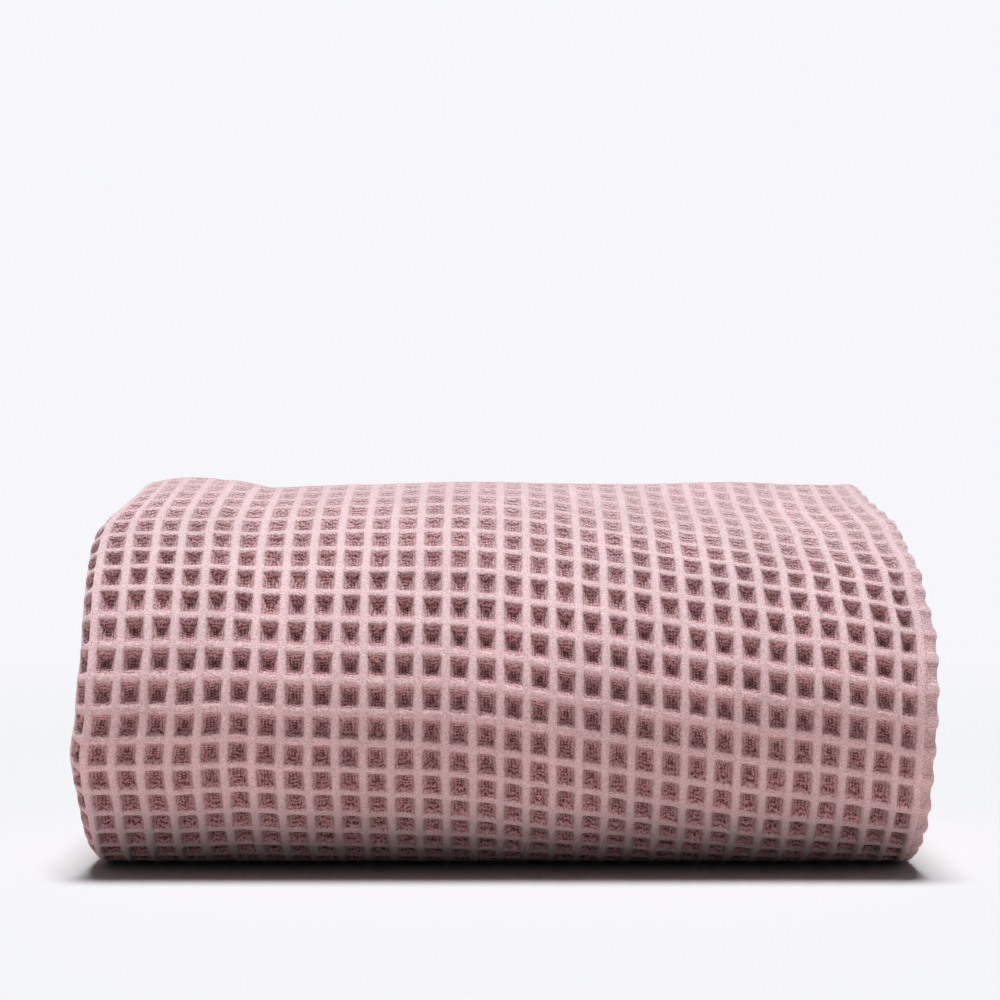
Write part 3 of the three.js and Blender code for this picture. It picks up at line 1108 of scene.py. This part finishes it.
# %% [markdown]
# ## Fitting the pieces to the frame
# Every piece rides on the one body, takes its cotton material and stands for the plain solid,
# which is hidden. The size that it was cut to before it was folded is printed.

HEM_TAKEN = 11


def dress(piece, material, flat):
    piece.data.materials.append(material)
    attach(piece, "root")
    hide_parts("throw")
    print(piece.name, "cut to", np.round(flat, 3), "m")


for piece, (_, columns, rows, _) in zip(outside, OUTSIDE):
    size = ((columns[1] - columns[0]) * CELL_ACROSS * MM, (rows[1] - rows[0]) * CELL_ALONG * MM)
    dress(piece, waffle, size)
inside_size = ((CLOTH_WIDTH - 2 * HEM_TAKEN) * MM, (CLOTH_LENGTH - 2 * HEM_TAKEN) * MM)
dress(inside, waffle_flat, inside_size)
dress(hem, hem_cotton, (HEM_WIDTH * MM, hem_length * MM))

# %% [markdown]
# ## Floor, light and camera
# A wide pale floor, one broad soft light from above and a little in front, and an even sky.
# The light that the floor throws back fills the lower half of the round front. The camera sees
# the floor in FLOOR_TONE, and the cloth gets a warmer BOUNCE_TONE from it, but none from under
# itself, so that the foot stays dark. Far from the throw the floor turns to the tone of the
# backdrop, so that no edge shows.

# %% Material of the floor
BACKDROP = (0.935, 0.935, 0.965)
FLOOR_TONE = (0.52, 0.525, 0.538, 1)
BOUNCE_TONE = (0.8, 0.67, 0.65, 1)
BLACK = (0, 0, 0, 1)
FADE_DISTANCES = (0.5, 1.6)
FOOT_EDGE = 0.012


def clear_of_throw(tree, place):
    split = tree.nodes.new("ShaderNodeSeparateXYZ")
    tree.links.new(place, split.inputs[0])
    beyond = []
    for axis, size in zip("XY", high_corner - low_corner):
        reach = math_node(tree, "ABSOLUTE", split.outputs[axis])
        beyond.append(math_node(tree, "SUBTRACT", reach, size / 2 * MM))
    return ramp_node(tree, math_node(tree, "MAXIMUM", *beyond), -FOOT_EDGE, FOOT_EDGE)


def floor_material(name):
    material = bpy.data.materials.new(name)
    material.use_nodes = True
    tree = material.node_tree
    place = tree.nodes.new("ShaderNodeTexCoord").outputs["Object"]
    distance = tree.nodes.new("ShaderNodeVectorMath")
    distance.operation = "LENGTH"
    tree.links.new(place, distance.inputs[0])
    far = ramp_node(tree, distance.outputs["Value"], *FADE_DISTANCES)
    seen = tree.nodes.new("ShaderNodeLightPath").outputs["Is Camera Ray"]
    bounce = mix_colour(tree, clear_of_throw(tree, place), BLACK, BOUNCE_TONE)
    tone = mix_colour(tree, seen, bounce, FLOOR_TONE)
    shader = tree.nodes["Principled BSDF"]
    tree.links.new(tone, shader.inputs["Base Color"])
    shader.inputs["Roughness"].default_value = 0.7
    shader.inputs["Specular IOR Level"].default_value = 0.2
    glow = tree.nodes.new("ShaderNodeEmission")
    glow.inputs["Color"].default_value = (*BACKDROP, 1)
    blend = tree.nodes.new("ShaderNodeMixShader")
    tree.links.new(far, blend.inputs[0])
    tree.links.new(shader.outputs[0], blend.inputs[1])
    tree.links.new(glow.outputs[0], blend.inputs[2])
    tree.links.new(blend.outputs[0], tree.nodes["Material Output"].inputs["Surface"])
    return material


floor_paint = floor_material("pale floor")
print("material:", floor_paint.name)

# %% Floor
FLOOR_RADIUS = 12

bpy.ops.mesh.primitive_circle_add(
    vertices=96, radius=FLOOR_RADIUS, fill_type="NGON", location=(0, 0, 0)
)
floor = bpy.context.object
floor.name = "floor"
floor.data.materials.append(floor_paint)
floor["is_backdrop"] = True
print("floor radius", FLOOR_RADIUS, "m")

# %% Light from above
LIGHT_STRENGTH = 5.45
LIGHT_WIDTH = 23
LIGHT_TILT = 7

bpy.ops.object.light_add(type="SUN", location=(0, 0, 2))
sun = bpy.context.object
sun.name = "soft light from above"
sun.data.energy = LIGHT_STRENGTH
sun.data.angle = math.radians(LIGHT_WIDTH)
sun.rotation_euler = (math.radians(LIGHT_TILT), 0, 0)
print("light tilted", LIGHT_TILT, "degrees to the front")

# %% Sky
SKY_STRENGTH = 0.1


def make_sky():
    world = bpy.data.worlds.new("studio")
    world.use_nodes = True
    tree = world.node_tree
    sky = tree.nodes["Background"]
    sky.inputs["Color"].default_value = (1, 1, 1, 1)
    sky.inputs["Strength"].default_value = SKY_STRENGTH
    backdrop = tree.nodes.new("ShaderNodeBackground")
    backdrop.inputs["Color"].default_value = (*BACKDROP, 1)
    seen = tree.nodes.new("ShaderNodeLightPath").outputs["Is Camera Ray"]
    choose = tree.nodes.new("ShaderNodeMixShader")
    tree.links.new(seen, choose.inputs[0])
    tree.links.new(sky.outputs[0], choose.inputs[1])
    tree.links.new(backdrop.outputs[0], choose.inputs[2])
    tree.links.new(choose.outputs[0], tree.nodes["World Output"].inputs["Surface"])
    return world


bpy.context.scene.world = make_sky()
bpy.context.scene.view_settings.view_transform = "Standard"
print("an even sky of strength", SKY_STRENGTH)

# %% [markdown]
# The photo was taken from a little above the middle of the throw, level, with a long lens, so
# the camera stands back, looks straight ahead and is framed by its focal length alone.

# %% Camera
EYE_DISTANCE = 1.1
EYE_HEIGHT = 0.1463
EYE_ACROSS = -0.001
SENSOR_WIDTH = 36
FOCAL_LENGTH = 104.4

eye = (EYE_ACROSS, -DEPTH / 2 * MM - EYE_DISTANCE, EYE_HEIGHT)
bpy.ops.object.camera_add(location=eye, rotation=(math.radians(90), 0, 0))
camera = bpy.context.object
camera.data.sensor_width = SENSOR_WIDTH
camera.data.lens = FOCAL_LENGTH
camera.data.clip_end = 60
bpy.context.scene.camera = camera
print("camera", round(EYE_DISTANCE * 1000), "mm in front of the throw")

# %% [markdown]
# ## Sizes
# The boxes of the solid and of the dressed throw are printed, to be compared.

# %% Print the boxes
boxes = {
    "cad": [list(corner) for corner in cad_box],
    "visual": [list(corner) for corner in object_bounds()],
}
for name, (low, high) in boxes.items():
    print(name, [round((b - a) * 1000, 1) for a, b in zip(low, high)], "mm")
